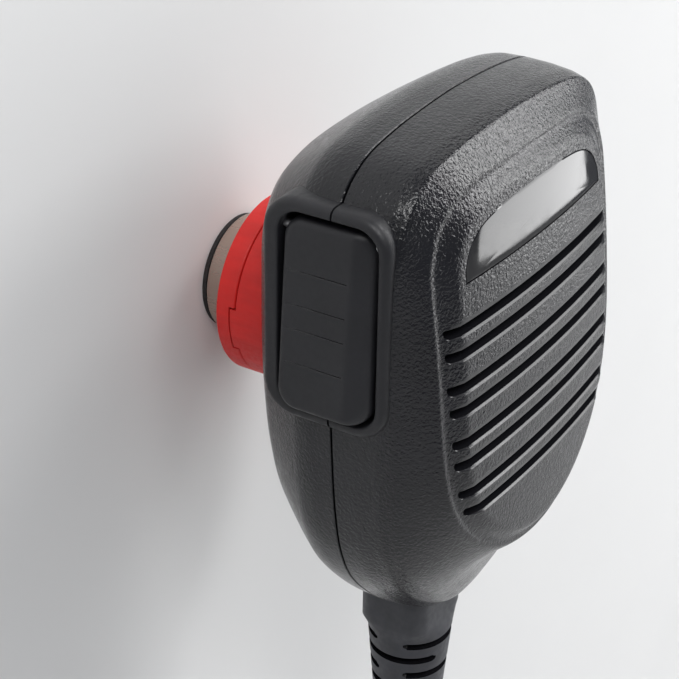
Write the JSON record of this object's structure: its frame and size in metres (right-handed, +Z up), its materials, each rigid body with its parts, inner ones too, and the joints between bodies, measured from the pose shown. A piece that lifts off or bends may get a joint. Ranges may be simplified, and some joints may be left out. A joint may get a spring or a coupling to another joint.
{
  "type": "hand microphone",
  "caption": "Fist microphone with a side push-to-talk button, hung on a magnetic wall button by a split ring, with a curly cord ending in a round plug.",
  "frame": {"origin": "middle of the wall button's back face, which lies on the wall", "axes": "+Y into the wall, so the microphone's front faces -Y; +Z up, the cord hangs along -Z; the push-to-talk button is on the -X side"},
  "size_m": [0.0644, 0.0565, 0.3046],
  "materials": {
    "black_shell": "fine leathery grain",
    "black_button": "fine grain",
    "gloss_black": "polished",
    "red_plastic": "matte, printed texture",
    "nickel": "satin nickel plating",
    "steel": "zinc plated",
    "magnet": "dull plated",
    "pad_foam": "foam tape",
    "rubber": "smooth matte",
    "cord_rubber": "satin",
    "switch_body": "moulded",
    "felt": "thin felt",
    "board_green": "solder mask",
    "nylon": "natural nylon",
    "brass": "plated contact",
    "wire_red": "wire insulation"
  },
  "bodies": {
    "wall_mount": {"wall_pad": "pad_foam", "magnet_cup": "nickel", "cup_magnet": "magnet", "magnet_screw": "steel", "grub_screw": "steel"},
    "strike": {"strike_plate": "steel", "thrust_washer": "nylon"},
    "mic": {"ring_cap": "red_plastic", "ring_base": "red_plastic", "hanger_stud": "steel", "stud_nut": "steel", "rear_shell": "black_shell", "front_shell": "black_shell", "label_window": "gloss_black", "dust_felt": "felt", "mic_capsule": "nickel", "capsule_boot": "rubber", "circuit_board": "board_green", "board_screw_1": "steel", "board_screw_2": "steel", "ptt_switch": "switch_body", "spring_bracket": "nylon", "ptt_spring": "steel", "hinge_pin": "steel", "case_screw_1": "steel", "case_screw_2": "steel", "case_screw_3": "steel", "case_screw_4": "steel", "strain_relief": "rubber", "inner_cord": "cord_rubber", "cord_clamp": "nylon", "cord_core_1": "wire_red", "cord_core_2": "wire_red", "cord_core_3": "wire_red", "cord_core_4": "wire_red"},
    "ptt": {"ptt_button": "black_button"},
    "plunger": {"switch_plunger": "nylon"},
    "cord": {"cord_lead": "cord_rubber", "cord_coil": "cord_rubber", "cord_tail": "cord_rubber", "plug_relief": "rubber", "plug_shell": "nickel", "plug_insert": "rubber", "contact_1": "brass", "contact_2": "brass", "contact_3": "brass", "contact_4": "brass", "contact_5": "brass", "contact_6": "brass", "contact_7": "brass", "contact_8": "brass"},
    "coupling": {"coupling_ring": "nickel"}
  },
  "joints": [
    {"name": "pull_off", "type": "slide", "parent": "wall_mount", "child": "strike", "axis": [0, -1, 0], "range_m": [0, 0.03]},
    {"name": "swivel", "type": "hinge", "parent": "strike", "child": "mic", "pos_m": [0, -0.0125, 0], "axis": [0, 1, 0], "range_deg": [-90, 90]},
    {"name": "ptt_press", "type": "hinge", "parent": "mic", "child": "ptt", "pos_m": [-0.0292, -0.0369, 0.0274], "axis": [0, -1, 0], "range_deg": [0, 4], "stiffness_Nm_per_rad": 0.5, "springref_deg": -2.86, "deforming": ["ptt_spring"]},
    {"name": "switch_press", "type": "slide", "parent": "mic", "child": "plunger", "axis": [1, 0, 0], "range_m": [0, 0.0014]},
    {"name": "cord_hang", "type": "hinge", "parent": "mic", "child": "cord", "pos_m": [0, -0.034, -0.075], "axis": [0, 1, 0], "range_deg": [-90, 90]},
    {"name": "coupling_spin", "type": "hinge", "parent": "cord", "child": "coupling", "pos_m": [0, -0.034, -0.2543], "axis": [0, 0, 1], "continuous": true}
  ],
  "couplings": [
    {"joint": "switch_press", "follows": "ptt_press", "m_per_rad": 0.0194},
    {"joint": "cord_hang", "follows": "swivel", "ratio": -1}
  ]
}
